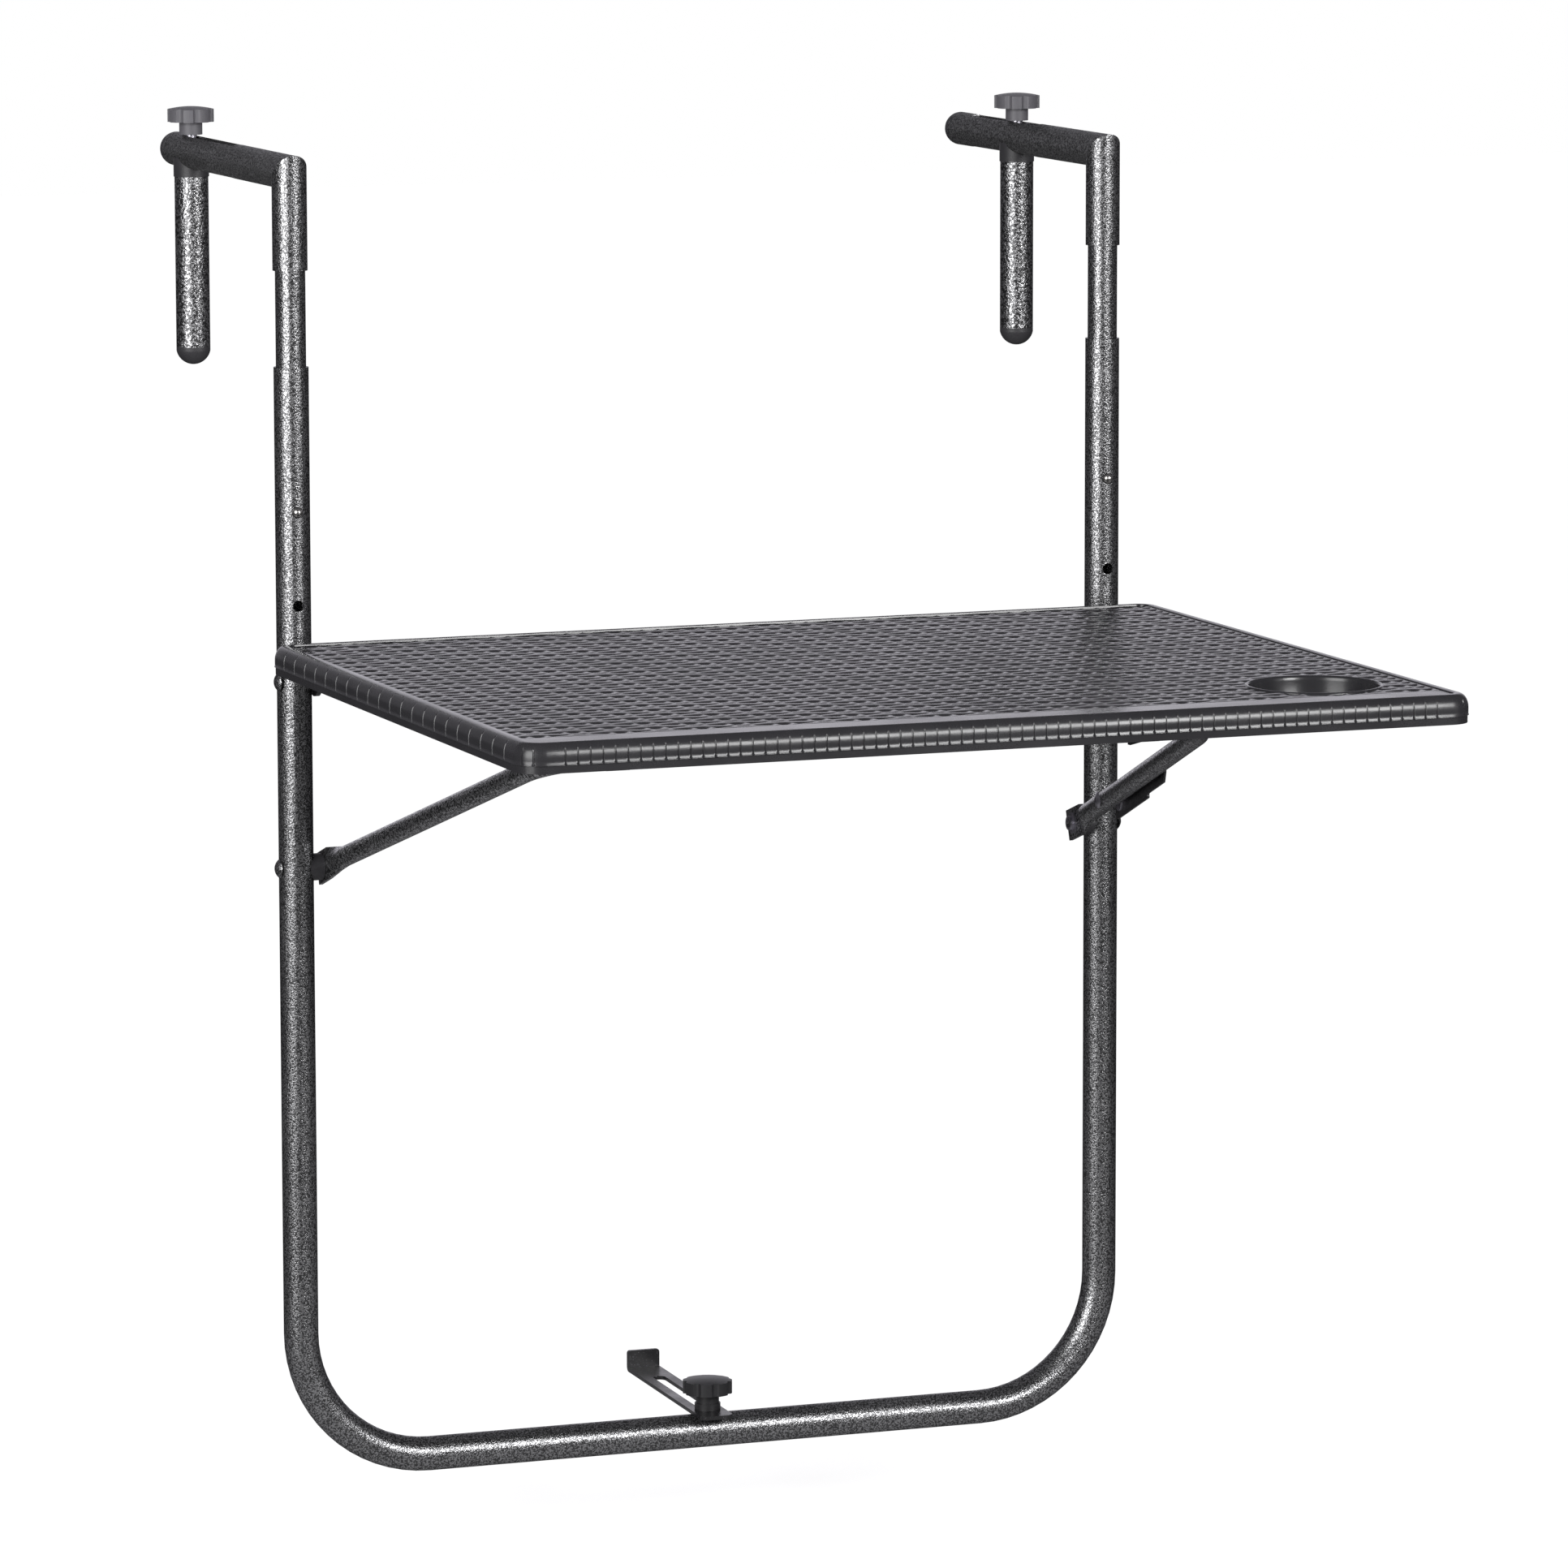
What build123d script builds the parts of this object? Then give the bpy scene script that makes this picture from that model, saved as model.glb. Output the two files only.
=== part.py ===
"""Folding balcony table: a tube frame that hooks over a railing and carries a hinged table top.

Millimetres, +Z up, the table reaches out along -Y, the hooks reach back along +Y.
The origin is at mid-width, in the plane of the post axes, at the underside of the hook arms.
"""
import os
from math import atan, cos, radians, sin, sqrt, tan

from build123d import *

# Tubes
TUBE_R = 11.0
TUBE_WALL = 1.45
INNER_R = 9.5
INNER_WALL = 1.2
SLIDE_FIT = 0.05
TURN_FIT = 0.05
SEAT_FIT = 0.02

# Frame
BEND_R = 85.0
LEG_TOP_Z = -110.5
BAR_Z = -812.0

# Hooks
SLEEVE_BOTTOM_Z = -50.0
SLEEVE_SOCKET = 26.0
ARM_END_Y = 244.0
ARM_SLOT_FRONT_Y = 105.0
ARM_SLOT_REAR_Y = 223.0
END_CAP_RIM = 3.0
END_CAP_DOME = 10.0
END_CAP_PLUG = 14.0

# Height adjustment
BUTTON_Z = -201.0
HOLE_PITCH = 59.0
BUTTON_R = 3.5
BUTTON_REACH = 2.6
BUTTON_FLANGE_R = 4.6
BUTTON_FLANGE_T = 1.0
BUTTON_FLANGE_GAP = 0.3
SPRING_T = 0.8
SPRING_W = 6.0
SPRING_DROP = 7.0
SPRING_RISE = 24.0
INNER_TAIL = 26.0

# Rail clamps
CLAMP_LEFT_Y = 214.0
CLAMP_RIGHT_Y = 147.0
CLAMP_POST_TOP_Z = -5.0
CLAMP_POST_BOTTOM_Z = -115.5
SADDLE_R = 11.5
SADDLE_RISE = 7.0
SADDLE_SPIGOT = 16.0
CLAMP_CAP_RIM = 2.5
CLAMP_CAP_DOME = 9.0
CLAMP_CAP_PLUG = 14.0
SCREW_R = 3.9
SCREW_HEAD_R = 6.5
SCREW_HEAD_T = 3.0
SLOT_PLAY = 0.3
KNOB_R = 15.0
KNOB_H = 10.0
KNOB_HUB_R = 7.5
KNOB_HUB_H = 8.2
KNOB_LOBES = 8
KNOB_SCALLOP_R = 3.2
KNOB_SCALLOP_IN = 1.6
KNOB_CROWN = 1.8
KNOB_REST = 0.1
KNOB_ROOF = 3.0

# Table hinge
HINGE_Y = -2.5
HINGE_Z = -308.5
BOLT_R = 3.0
BOLT_HEAD_R = 6.0
BOLT_HEAD_H = 3.0
EAR_GAP = 0.8
EAR_T = 3.0
EAR_R = 10.0
EAR_REACH = 64.0
EAR_RISE_FROM = 36.0
FLANGE_W = 28.0
FLANGE_T = 2.0
NUT_R = 5.5
NUT_T = 4.5
NUT_GAP = 0.3

# Table top
TABLE_W = 600.0
TABLE_D = 492.0
TABLE_REAR_Y = -25.5
TABLE_BOTTOM_Z = -298.6
TABLE_T = 17.6
TABLE_CORNER_R = 16.0
TABLE_OVERHANG = 25.0
LIP_H = 4.4
LIP_INSET = 0.8
LIP_W = 12.0
RIM_W = 9.0
RIM_ROUND = 6.0
FIELD_DROP = 1.2
SKIN_T = 2.8
WALL_T = 5.0
PAD_DROP = 9.5
PAD_MARGIN = 3.0
PILOT_R = 1.6
FIXING_HEAD_R = 4.0
FIXING_HEAD_T = 2.2
FIXING_LENGTH = 7.0
CUP_FROM_SIDE = 69.6
CUP_FROM_FRONT = 82.2
CUP_R = 39.0
CUP_DEPTH = 13.0
CUP_WALL = 2.4
RIB_T = 3.0
RIB_ROOM = 1.5
RIB_FROM_SIDE = 115.0
RIB_FROM_FRONT = 62.5
RIB_COLUMNS = 7
RIB_ROWS = 5

# Brace frame
PIVOT_Z = -427.5
BRACE_R = 6.5
BRACE_WALL = 1.2
BRACE_RISE = 18.6
BRACE_TAPER = 0.125
BRACE_LENGTH = 336.0
BRACE_BEND_R = 40.0
LUG_OFFSET = 18.1
LUG_T = 2.4
LUG_W = 20.0
LUG_TAIL = 10.0
LUG_FLAT = 13.0
LUG_END = 34.0
BUSH_R = 8.6
BRACE_NUT_R = 6.8
BRACE_NUT_T = 3.4
BRACE_FLANGE_T = 1.2
BRACE_COLLAR_R = 4.6
PIVOT_GAP = 0.2

# Clips that hold the cross tube under the table
CLIP_W = 15.0
CLIP_BACK = 14.0
CLIP_FRONT = 9.0
CLIP_JAW = 1.6
CLIP_FIT = 0.1
CLIP_RELEASE = 24.0
CLIP_FLARE = 7.0
CLIP_TAB_H = 3.2
CLIP_TAB_T = 4.0

# Latch lever on the right arm of the brace
LATCH_PIVOT = 84.0
LATCH_REAR = 12.8
LATCH_BODY = 64.5
LATCH_TONGUE = 45.0
LATCH_BELOW = 11.5
LATCH_ABOVE = 9.0
LATCH_TONGUE_BELOW = 8.8
LATCH_TONGUE_ABOVE = 2.4
LATCH_TONGUE_CUT = 6.0
LATCH_T = 1.5
LATCH_ROUND = 1.2
LATCH_GAP = 0.1
RIVET_R = 2.5
RIVET_HEAD_R = 5.5
RIVET_HEAD_H = 2.0
RIVET_EYE_R = 1.8
RIVET_WASHER_R = 8.0
RIVET_WASHER_T = 1.5

# Stand-off bracket on the bottom bar
BRACKET_X = 0.0
BRACKET_TURN = 2.0
BRACKET_W = 22.0
BRACKET_T = 2.5
BRACKET_FRONT_Y = -22.0
BRACKET_REAR_Y = 139.0
BRACKET_TAB_H = 14.0
BRACKET_ROUND = 6.0
BRACKET_TAB_ROUND = 2.0
BRACKET_FOLD_R = 3.5
BRACKET_GAP = 0.1
BRACKET_SLOT_REAR_Y = 106.0
STUD_R = 3.9
STUD_ROOT = 9.0
BRACKET_KNOB_R = 16.0
BRACKET_KNOB_H = 10.0
BRACKET_COLLAR_R = 8.4
BRACKET_COLLAR_H = 4.5
BRACKET_NECK_R = 7.5
BRACKET_NECK_H = 6.5

# Places worked out from the sizes above
ARM_Z = TUBE_R
ARM_TOP_Z = ARM_Z + TUBE_R
BORE_R = TUBE_R - TUBE_WALL
POST_X = TABLE_W / 2 - TABLE_OVERHANG
POST_INNER = POST_X - TUBE_R
TABLE_TOP_Z = TABLE_BOTTOM_Z + TABLE_T
FIELD_Z = TABLE_TOP_Z - FIELD_DROP
CEILING_Z = FIELD_Z - SKIN_T
PARTING_Z = TABLE_BOTTOM_Z + LIP_H
TABLE_MID_Y = TABLE_REAR_Y - TABLE_D / 2
TABLE_FRONT_Y = TABLE_REAR_Y - TABLE_D
CUP_X = TABLE_W / 2 - CUP_FROM_SIDE
CUP_Y = TABLE_FRONT_Y + CUP_FROM_FRONT
RIB_HALF_W = TABLE_W / 2 - RIB_FROM_SIDE
RIB_FRONT_Y = TABLE_FRONT_Y + RIB_FROM_FRONT
PAD_Z = CEILING_Z - PAD_DROP
LUG_X = POST_X - LUG_OFFSET
CROSS_Y = -BRACE_LENGTH * cos(radians(BRACE_RISE))
CROSS_Z = PIVOT_Z + BRACE_LENGTH * sin(radians(BRACE_RISE))
CORNER_X = LUG_X - BRACE_TAPER * BRACE_LENGTH
CLIP_X = CORNER_X - BRACE_BEND_R * tan(atan(1 / BRACE_TAPER) / 2) - CLIP_W / 2
CLIP_FRONT_Y = CROSS_Y - CLIP_FRONT
CLIP_BACK_Y = CROSS_Y + CLIP_BACK
BAR_TOP_Z = BAR_Z + TUBE_R
FLANGE_INNER_X = POST_INNER - EAR_GAP - FLANGE_W


def rod_x(radius, x0, x1, y, z):
    return Pos((x0 + x1) / 2, y, z) * Rot(0, 90, 0) * Cylinder(radius, abs(x1 - x0))


def rod_y(radius, y0, y1, x, z):
    return Pos(x, (y0 + y1) / 2, z) * Rot(90, 0, 0) * Cylinder(radius, abs(y1 - y0))


def rod_z(radius, z0, z1, x, y):
    return Pos(x, y, (z0 + z1) / 2) * Cylinder(radius, abs(z1 - z0))


def block(x0, x1, y0, y1, z0, z1):
    return Pos((x0 + x1) / 2, (y0 + y1) / 2, (z0 + z1) / 2) * Box(x1 - x0, y1 - y0, z1 - z0)


def dome(radius, height):
    """A rounded cap over the XY plane, its rim of the given radius."""
    ball_r = (radius ** 2 + height ** 2) / (2 * height)
    cap = Pos(0, 0, height - ball_r) * Sphere(ball_r)
    return cap & Pos(0, 0, height / 2) * Box(2 * radius, 2 * radius, height)


def left(shape):
    return mirror(shape, about=Plane.YZ)


def pair(name, right_shape):
    """The same piece on both sides, mirrored."""
    return {f"{name}_right": right_shape, f"{name}_left": left(right_shape)}


def make_frame():
    """One bent tube: two legs and the bottom bar."""
    path = Plane.XZ * FilletPolyline(
        (-POST_X, LEG_TOP_Z), (-POST_X, BAR_Z), (POST_X, BAR_Z), (POST_X, LEG_TOP_Z), radius=BEND_R)
    ring = Circle(TUBE_R) - Circle(BORE_R)
    tube = sweep(Pos(-POST_X, 0, LEG_TOP_Z) * ring, path=path)
    for side in (-1, 1):
        x = side * POST_X
        for z in (BUTTON_Z, BUTTON_Z - HOLE_PITCH):
            tube -= rod_y(BUTTON_R + SLIDE_FIT, -TUBE_R - TUBE_WALL, 0, x, z)
        tube -= rod_x(BOLT_R, x - 2 * TUBE_R, x + 2 * TUBE_R, HINGE_Y, HINGE_Z)
        tube -= rod_x(BOLT_R, x - 2 * TUBE_R, x + 2 * TUBE_R, 0, PIVOT_Z)
    tube -= rod_z(STUD_R, BAR_Z, BAR_TOP_Z + TUBE_WALL, BRACKET_X, 0)
    return {"u_frame": tube}


def mitre_tool(keep_arm):
    """The half space on one side of the 45 degree joint between post and arm."""
    size = 4 * (ARM_END_Y + TUBE_R)
    shift = size / 2 if keep_arm else -size / 2
    return Pos(POST_X, 0, ARM_Z) * Rot(45, 0, 0) * Pos(0, shift, 0) * Box(size, size, size)


def make_hook():
    """Inner tube, upper sleeve, arm over the rail and its end cap."""
    socket_top = SLEEVE_BOTTOM_Z + SLEEVE_SOCKET
    tail_z = BUTTON_Z - INNER_TAIL
    inner = rod_z(INNER_R, tail_z, socket_top, POST_X, 0)
    inner -= rod_z(INNER_R - INNER_WALL, tail_z, socket_top, POST_X, 0)
    inner -= rod_y(BUTTON_R + SLIDE_FIT, -TUBE_R, 0, POST_X, BUTTON_Z)

    sleeve = rod_z(TUBE_R, SLEEVE_BOTTOM_Z, ARM_TOP_Z + TUBE_R, POST_X, 0)
    sleeve -= rod_z(INNER_R - INNER_WALL, SLEEVE_BOTTOM_Z, ARM_TOP_Z + TUBE_R, POST_X, 0)
    sleeve -= rod_z(INNER_R + SEAT_FIT, SLEEVE_BOTTOM_Z, socket_top, POST_X, 0)
    sleeve -= mitre_tool(True)

    arm = rod_y(TUBE_R, -2 * TUBE_R, ARM_END_Y, POST_X, ARM_Z)
    arm -= rod_y(BORE_R, -2 * TUBE_R, ARM_END_Y, POST_X, ARM_Z)
    arm -= mitre_tool(False)
    slot_r = SCREW_R + SLOT_PLAY
    slot_z0 = ARM_Z - 2 * TUBE_R
    slot_z1 = ARM_Z + 2 * TUBE_R
    slot_y0 = ARM_SLOT_FRONT_Y + slot_r
    slot_y1 = ARM_SLOT_REAR_Y - slot_r
    arm -= block(POST_X - slot_r, POST_X + slot_r, slot_y0, slot_y1, slot_z0, slot_z1)
    for y in (slot_y0, slot_y1):
        arm -= rod_z(slot_r, slot_z0, slot_z1, POST_X, y)

    plug_y = ARM_END_Y - END_CAP_PLUG
    cap = rod_y(TUBE_R, ARM_END_Y, ARM_END_Y + END_CAP_RIM, POST_X, ARM_Z)
    cap += Pos(POST_X, ARM_END_Y + END_CAP_RIM, ARM_Z) * Rot(-90, 0, 0) * dome(TUBE_R, END_CAP_DOME)
    cap += rod_y(BORE_R - SEAT_FIT, plug_y, ARM_END_Y, POST_X, ARM_Z)
    return {
        **pair("inner_tube", inner),
        **pair("upper_post", sleeve),
        **pair("hook_arm", arm),
        **pair("arm_end_cap", cap),
    }


def make_snap_button():
    """A headed button in the inner tube, pushed out by a folded leaf spring."""
    wall_y = -(INNER_R - INNER_WALL)
    straight_y = -(TUBE_R + BUTTON_REACH - BUTTON_R)
    button = rod_y(BUTTON_R, straight_y, wall_y, POST_X, BUTTON_Z)
    ball = Pos(POST_X, straight_y, BUTTON_Z) * Sphere(BUTTON_R)
    front = block(POST_X - TUBE_R, POST_X + TUBE_R, straight_y - TUBE_R, straight_y,
                  BUTTON_Z - TUBE_R, BUTTON_Z + TUBE_R)
    button += ball & front
    flange_front = -sqrt(wall_y ** 2 - BUTTON_FLANGE_R ** 2) + BUTTON_FLANGE_GAP
    flange_y = flange_front + BUTTON_FLANGE_T
    button += rod_y(BUTTON_R, wall_y, flange_y, POST_X, BUTTON_Z)
    button += rod_y(BUTTON_FLANGE_R, flange_front, flange_y, POST_X, BUTTON_Z)

    top_z = BUTTON_Z + SPRING_RISE
    back_y = -wall_y - BUTTON_FLANGE_T
    profile = Plane.YZ * make_face(Polyline(
        (flange_y, BUTTON_Z - SPRING_DROP), (flange_y + SPRING_T, BUTTON_Z - SPRING_DROP),
        (flange_y + SPRING_T, BUTTON_Z + SPRING_DROP), (0, top_z - 2 * SPRING_T),
        (back_y - SPRING_T, BUTTON_Z + SPRING_DROP), (back_y - SPRING_T, BUTTON_Z - SPRING_DROP),
        (back_y, BUTTON_Z - SPRING_DROP), (back_y, BUTTON_Z + SPRING_DROP),
        (SPRING_T, top_z), (-SPRING_T, top_z), (flange_y, BUTTON_Z + SPRING_DROP), close=True))
    spring = Pos(POST_X - SPRING_W / 2, 0, 0) * extrude(profile, SPRING_W)
    return {**pair("snap_button", button), **pair("snap_spring", spring)}


def star(radius, height, bore):
    """A crowned knob head with scalloped lobes, standing on the XY plane."""
    outline = Circle(radius) - PolarLocations(radius + KNOB_SCALLOP_IN, KNOB_LOBES) * Circle(KNOB_SCALLOP_R)
    shoulder = height - KNOB_CROWN
    head = Pos(0, 0, shoulder / 2) * Cylinder(radius, shoulder)
    head += Pos(0, 0, shoulder) * dome(radius, KNOB_CROWN)
    head &= extrude(outline, height)
    return head - Pos(0, 0, (height - KNOB_ROOF) / 2) * Cylinder(bore, height - KNOB_ROOF)


def make_clamp(y):
    """Saddle, hanging post, its cap, the screw and the star knob of one rail clamp."""
    x = POST_X
    arm_room = rod_y(TUBE_R + SLIDE_FIT, y - 2 * TUBE_R, y + 2 * TUBE_R, x, ARM_Z)
    saddle_top = CLAMP_POST_TOP_Z + SADDLE_RISE + TUBE_R / 2
    saddle = rod_z(SADDLE_R, CLAMP_POST_TOP_Z, saddle_top, x, y)
    saddle += rod_z(BORE_R - SEAT_FIT, CLAMP_POST_TOP_Z - SADDLE_SPIGOT, CLAMP_POST_TOP_Z, x, y)
    saddle -= arm_room
    head_z = CLAMP_POST_TOP_Z - SADDLE_SPIGOT
    saddle -= rod_z(SCREW_R, head_z, saddle_top, x, y)

    post = rod_z(TUBE_R, CLAMP_POST_BOTTOM_Z, CLAMP_POST_TOP_Z, x, y)
    post -= rod_z(BORE_R, CLAMP_POST_BOTTOM_Z, CLAMP_POST_TOP_Z, x, y)

    rim_z = CLAMP_POST_BOTTOM_Z - CLAMP_CAP_RIM
    cap = rod_z(TUBE_R, rim_z, CLAMP_POST_BOTTOM_Z, x, y)
    cap += Pos(x, y, rim_z) * Rot(180, 0, 0) * dome(TUBE_R, CLAMP_CAP_DOME)
    cap += rod_z(BORE_R - SEAT_FIT, CLAMP_POST_BOTTOM_Z, CLAMP_POST_BOTTOM_Z + CLAMP_CAP_PLUG, x, y)

    knob_z = ARM_TOP_Z + KNOB_REST
    head_base = knob_z + KNOB_HUB_H
    screw = rod_z(SCREW_R, head_z, head_base + KNOB_H - KNOB_ROOF - TURN_FIT, x, y)
    screw += rod_z(SCREW_HEAD_R, head_z - SCREW_HEAD_T, head_z, x, y)

    bore = SCREW_R + TURN_FIT
    hub = rod_z(KNOB_HUB_R, knob_z, head_base, x, y) - rod_z(bore, knob_z, head_base, x, y)
    knob = hub + Pos(x, y, head_base) * star(KNOB_R, KNOB_H, bore)
    return {
        "clamp_saddle": saddle,
        "clamp_post": post,
        "clamp_post_cap": cap,
        "clamp_screw": screw,
        "clamp_knob": knob,
    }


def make_clamps():
    pieces = {f"{name}_right": shape for name, shape in make_clamp(CLAMP_RIGHT_Y).items()}
    pieces.update({f"{name}_left": left(shape) for name, shape in make_clamp(CLAMP_LEFT_Y).items()})
    return pieces


def dome_bolt(inner_x, y, z):
    """A bolt along X through the right post, dome head on the outside."""
    outer_x = POST_X + TUBE_R
    head = Pos(outer_x, y, z) * Rot(0, 90, 0) * dome(BOLT_HEAD_R, BOLT_HEAD_H)
    return rod_x(BOLT_R, inner_x, outer_x, y, z) + head


def fixing_places():
    """Screw centres of the right hinge flange."""
    x = FLANGE_INNER_X + (FLANGE_W - EAR_T) / 2
    depth = EAR_REACH - EAR_RISE_FROM
    for share in (1 / 4, 3 / 4):
        yield x, HINGE_Y - EAR_RISE_FROM - share * depth


def make_hinge():
    """Ear with flange under the table, its pivot bolt, nut and screws."""
    outer_x = POST_INNER - EAR_GAP
    inner_x = outer_x - EAR_T
    rise_y = HINGE_Y - EAR_RISE_FROM
    reach_y = HINGE_Y - EAR_REACH
    below_rim = TABLE_BOTTOM_Z - EAR_GAP / 2
    ear = rod_x(EAR_R, inner_x, outer_x, HINGE_Y, HINGE_Z)
    ear &= block(inner_x, outer_x, HINGE_Y - EAR_R, HINGE_Y + EAR_R, HINGE_Z - EAR_R, below_rim)
    ear += block(inner_x, outer_x, reach_y, HINGE_Y, HINGE_Z - EAR_R / 2, below_rim)
    ear += block(inner_x, outer_x, reach_y, rise_y, HINGE_Z - EAR_R / 2, PAD_Z)
    ear += block(FLANGE_INNER_X, outer_x, reach_y, rise_y, PAD_Z - FLANGE_T, PAD_Z)
    ear -= rod_x(BOLT_R + TURN_FIT, inner_x, outer_x, HINGE_Y, HINGE_Z)
    screws = Part()
    for x, y in fixing_places():
        ear -= rod_z(PILOT_R, PAD_Z - FLANGE_T, PAD_Z, x, y)
        screws += rod_z(PILOT_R, PAD_Z - FLANGE_T, PAD_Z - FLANGE_T + FIXING_LENGTH, x, y)
        screws += rod_z(FIXING_HEAD_R, PAD_Z - FLANGE_T - FIXING_HEAD_T, PAD_Z - FLANGE_T, x, y)

    nut_x = inner_x - NUT_GAP
    bolt = dome_bolt(nut_x - NUT_T, HINGE_Y, HINGE_Z)
    hexagon = Rot(0, 90, 0) * extrude(RegularPolygon(NUT_R, 6), NUT_T)
    nut = Pos(nut_x - NUT_T, HINGE_Y, HINGE_Z) * hexagon
    nut -= rod_x(BOLT_R, nut_x - NUT_T, nut_x, HINGE_Y, HINGE_Z)
    return {
        **pair("hinge_bracket", ear),
        **pair("hinge_bolt", bolt),
        **pair("hinge_nut", nut),
        "hinge_screws": Compound(children=[*screws.solids(), *left(screws).solids()]),
    }


def plate(width, depth, corner, z0, z1):
    """A rounded slab centred on the table."""
    return Pos(0, TABLE_MID_Y, z0) * extrude(RectangleRounded(width, depth, corner), z1 - z0)


def make_table():
    """Upper moulding with rim, field and cup, over a lower moulding with lip and ribs."""
    top = plate(TABLE_W, TABLE_D, TABLE_CORNER_R, PARTING_Z, TABLE_TOP_Z)
    top = fillet(top.edges().group_by(Axis.Z)[-1], RIM_ROUND)
    field_corner = TABLE_CORNER_R - RIM_W
    top -= plate(TABLE_W - 2 * RIM_W, TABLE_D - 2 * RIM_W, field_corner, FIELD_Z, TABLE_TOP_Z)
    pocket_corner = TABLE_CORNER_R - WALL_T
    top -= plate(TABLE_W - 2 * WALL_T, TABLE_D - 2 * WALL_T, pocket_corner, PARTING_Z, CEILING_Z)
    floor_z = FIELD_Z - CUP_DEPTH
    top += rod_z(CUP_R + CUP_WALL, floor_z - CUP_WALL, CEILING_Z, CUP_X, CUP_Y)
    top -= rod_z(CUP_R, floor_z, FIELD_Z, CUP_X, CUP_Y)
    pad = block(FLANGE_INNER_X - PAD_MARGIN, POST_INNER - EAR_GAP + PAD_MARGIN,
                HINGE_Y - EAR_REACH - PAD_MARGIN, HINGE_Y - EAR_RISE_FROM, PAD_Z, CEILING_Z)
    for x, y in fixing_places():
        pad -= rod_z(PILOT_R, PAD_Z, PAD_Z - FLANGE_T + FIXING_LENGTH, x, y)
    top += pad
    top += left(pad)

    lip_w = TABLE_W - 2 * LIP_INSET
    lip_d = TABLE_D - 2 * LIP_INSET
    lip = plate(lip_w, lip_d, TABLE_CORNER_R - LIP_INSET, TABLE_BOTTOM_Z, PARTING_Z)
    hole_corner = TABLE_CORNER_R - LIP_INSET - LIP_W / 2
    lip -= plate(lip_w - 2 * LIP_W, lip_d - 2 * LIP_W, hole_corner, TABLE_BOTTOM_Z, PARTING_Z)
    rib_rear_y = TABLE_REAR_Y - LIP_INSET - LIP_W
    ribs = Part()
    for i in range(RIB_COLUMNS):
        x = -RIB_HALF_W + i * 2 * RIB_HALF_W / (RIB_COLUMNS - 1)
        ribs += block(x - RIB_T / 2, x + RIB_T / 2, RIB_FRONT_Y, rib_rear_y, TABLE_BOTTOM_Z, CEILING_Z)
    for i in range(RIB_ROWS):
        y = RIB_FRONT_Y + i * (rib_rear_y - RIB_FRONT_Y) / RIB_ROWS
        ribs += block(-RIB_HALF_W, RIB_HALF_W, y, y + RIB_T, TABLE_BOTTOM_Z, CEILING_Z)
    clip_room = block(CLIP_X - CLIP_W / 2 - RIB_ROOM, CLIP_X + CLIP_W / 2 + RIB_ROOM,
                      CLIP_FRONT_Y - RIB_ROOM, CLIP_BACK_Y + RIB_ROOM, TABLE_BOTTOM_Z, CEILING_Z)
    ribs -= clip_room
    ribs -= left(clip_room)
    ribs -= rod_z(CUP_R + CUP_WALL + RIB_ROOM, TABLE_BOTTOM_Z, CEILING_Z, CUP_X, CUP_Y)
    return {"table_top": top, "table_base": lip + ribs}


def brace_plane():
    """X along the table's width, Y up along the brace from its pivot axis."""
    rise = radians(BRACE_RISE)
    return Plane(origin=(0, 0, PIVOT_Z), x_dir=(1, 0, 0), z_dir=(0, -sin(rise), -cos(rise)))


def arm_x(distance):
    """Half width of the brace at a distance from its pivot axis."""
    return LUG_X - BRACE_TAPER * distance


def make_brace():
    """One bent tube with flattened ends, tapering in towards the cross tube."""
    plane = brace_plane()
    path = plane * FilletPolyline(
        (-arm_x(LUG_END), LUG_END), (-arm_x(BRACE_LENGTH), BRACE_LENGTH),
        (arm_x(BRACE_LENGTH), BRACE_LENGTH), (arm_x(LUG_END), LUG_END), radius=BRACE_BEND_R)
    start = Plane(origin=path @ 0, z_dir=path % 0)
    tube = sweep(start * (Circle(BRACE_R) - Circle(BRACE_R - BRACE_WALL)), path=path)
    end = Plane(origin=path @ 1, x_dir=(0, 1, 0), z_dir=path % 1)
    flat = plane * Pos(arm_x(0), LUG_FLAT, 0) * Rot(90, 0, 0) * Rectangle(LUG_T, LUG_W)
    neck = loft([flat, end * Circle(BRACE_R)])
    lug = plane * Pos(arm_x(0), (LUG_FLAT - LUG_TAIL) / 2, 0) * Box(LUG_T, LUG_FLAT + LUG_TAIL, LUG_W)
    lug -= rod_x(BOLT_R + TURN_FIT, arm_x(0) - LUG_T, arm_x(0) + LUG_T, 0, PIVOT_Z)
    foot = lug + neck
    frame = tube + foot + left(foot)
    return {"brace_frame": frame - rivet_hole()}


def make_brace_pivot():
    """Bolt through the post, spacer bush and flange nut at each foot of the brace."""
    lug_outer = LUG_X + LUG_T / 2
    lug_inner = LUG_X - LUG_T / 2
    bush = rod_x(BUSH_R, lug_outer + PIVOT_GAP, POST_X, 0, PIVOT_Z)
    bush -= rod_z(TUBE_R + SEAT_FIT, PIVOT_Z - 2 * BUSH_R, PIVOT_Z + 2 * BUSH_R, POST_X, 0)
    bush -= rod_x(BOLT_R, lug_inner, POST_X, 0, PIVOT_Z)
    nut_x = lug_inner - PIVOT_GAP
    nut = rod_x(BRACE_NUT_R, nut_x - BRACE_FLANGE_T, nut_x, 0, PIVOT_Z)
    nut += rod_x(BRACE_COLLAR_R, nut_x - BRACE_NUT_T, nut_x, 0, PIVOT_Z)
    nut -= rod_x(BOLT_R, nut_x - BRACE_NUT_T, nut_x, 0, PIVOT_Z)
    bolt = dome_bolt(nut_x - BRACE_NUT_T + BRACE_FLANGE_T, 0, PIVOT_Z)
    return {**pair("brace_bush", bush), **pair("brace_nut", nut), **pair("brace_bolt", bolt)}


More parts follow.
